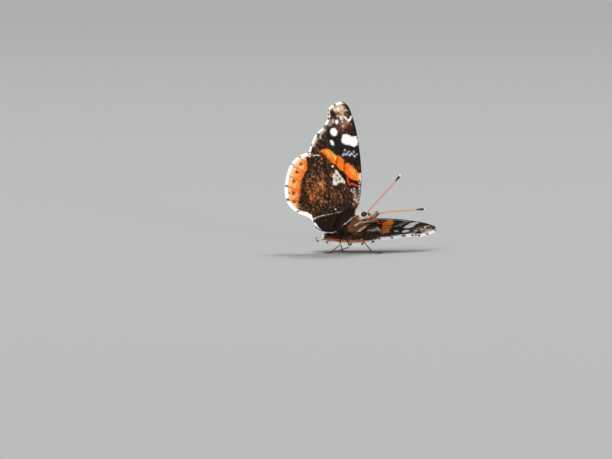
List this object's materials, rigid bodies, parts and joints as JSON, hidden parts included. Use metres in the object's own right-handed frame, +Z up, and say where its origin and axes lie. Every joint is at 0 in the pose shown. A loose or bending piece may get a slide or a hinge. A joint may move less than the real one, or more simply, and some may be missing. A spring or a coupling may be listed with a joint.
{
  "type": "red admiral",
  "caption": "Life-size still model of a butterfly standing with half-open wings, its body tilted so that one pair of wings is upright and the other almost level.",
  "frame": {"origin": "centre of the bounding box in plan, at the level of the floor under the feet", "axes": "+Z up from the floor, +X to the side that the head points to in the main view, +Y away from the viewer of that view"},
  "size_m": [0.042, 0.034, 0.042],
  "materials": {
    "body_hair": "soft brown hair, darker to the rear",
    "wing_scales": "matt scales, near black with orange, white and brown markings",
    "eye": "dark brown, glossy, finely faceted",
    "palp_hair": "brown and cream hair",
    "antenna": "orange-brown shaft, black club with a pale tip",
    "leg": "dark brown with paler joints"
  },
  "bodies": {
    "root": {"thorax": "body_hair", "head": "body_hair", "abdomen": "body_hair", "forewing_right": "wing_scales", "forewing_left": "wing_scales", "hindwing_right": "wing_scales", "hindwing_left": "wing_scales", "eye_right": "eye", "eye_left": "eye", "palp_right": "palp_hair", "palp_left": "palp_hair", "foreleg_right": "palp_hair", "foreleg_left": "palp_hair", "antenna_right": "antenna", "antenna_left": "antenna", "midleg_right": "leg", "midleg_left": "leg", "hindleg_right": "leg", "hindleg_left": "leg"}
  },
  "joints": []
}
